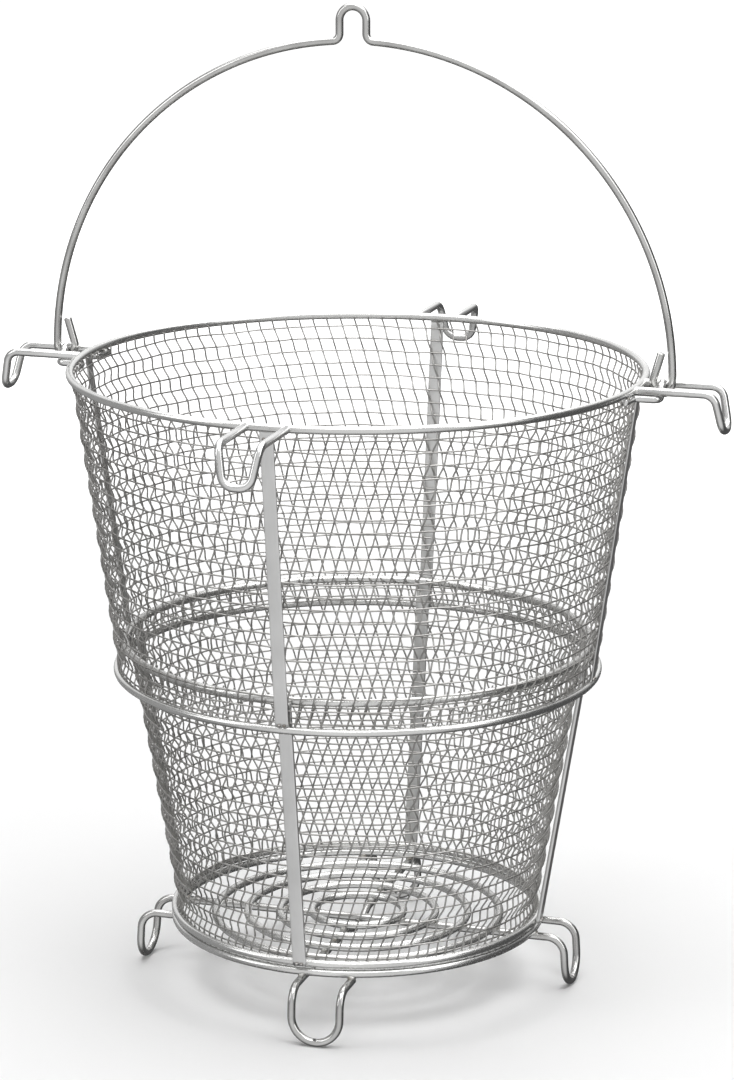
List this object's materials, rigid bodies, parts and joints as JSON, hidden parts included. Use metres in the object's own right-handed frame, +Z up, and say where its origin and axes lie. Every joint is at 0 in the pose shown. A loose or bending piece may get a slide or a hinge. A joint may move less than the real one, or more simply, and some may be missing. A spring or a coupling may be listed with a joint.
{
  "type": "turkey fryer basket",
  "caption": "Tapered two-stage stainless wire basket with wire feet, rim hooks and a swinging lifting bail, for roasting a whole bird upright.",
  "frame": {"origin": "on the floor under the basket's axis", "axes": "+Z up along the basket's axis, +X through the bail's two lugs, -Y towards the front strap"},
  "size_m": [0.3976, 0.3976, 0.5243],
  "materials": {
    "bright_wire": "polished",
    "satin_strap": "satin",
    "woven_wire": "bright drawn"
  },
  "bodies": {
    "lower_stage": {"lower_stage_top_ring": "bright_wire", "base_ring_upper": "bright_wire", "base_ring_lower": "bright_wire", "grate_ring_1": "bright_wire", "grate_ring_2": "bright_wire", "grate_ring_3": "bright_wire", "grate_ring_4": "bright_wire", "foot_bar_left_right": "bright_wire", "foot_bar_front_back": "bright_wire", "lower_strap_front": "satin_strap", "lower_strap_right": "satin_strap", "lower_strap_back": "satin_strap", "lower_strap_left": "satin_strap", "lower_cloth_uprights": "woven_wire", "lower_cloth_outer_hoops": "woven_wire", "lower_cloth_inner_hoops": "woven_wire"},
    "upper_stage": {"rim_ring": "bright_wire", "upper_stage_bottom_ring": "bright_wire", "rim_hook_front": "bright_wire", "rim_hook_right": "bright_wire", "rim_hook_back": "bright_wire", "rim_hook_left": "bright_wire", "bail_lug_left": "bright_wire", "bail_lug_right": "bright_wire", "upper_strap_front": "satin_strap", "upper_strap_right": "satin_strap", "upper_strap_back": "satin_strap", "upper_strap_left": "satin_strap", "upper_cloth_uprights": "woven_wire", "upper_cloth_outer_hoops": "woven_wire", "upper_cloth_inner_hoops": "woven_wire"},
    "bail": {"bail": "bright_wire"}
  },
  "joints": [
    {"name": "stage_slide", "type": "slide", "parent": "lower_stage", "child": "upper_stage", "axis": [0, 0, -1], "range_m": [0, 0.145]},
    {"name": "bail_swing", "type": "hinge", "parent": "upper_stage", "child": "bail", "pos_m": [0, 0, 0.3312], "axis": [1, 0, 0], "range_deg": [-55, 55]}
  ]
}
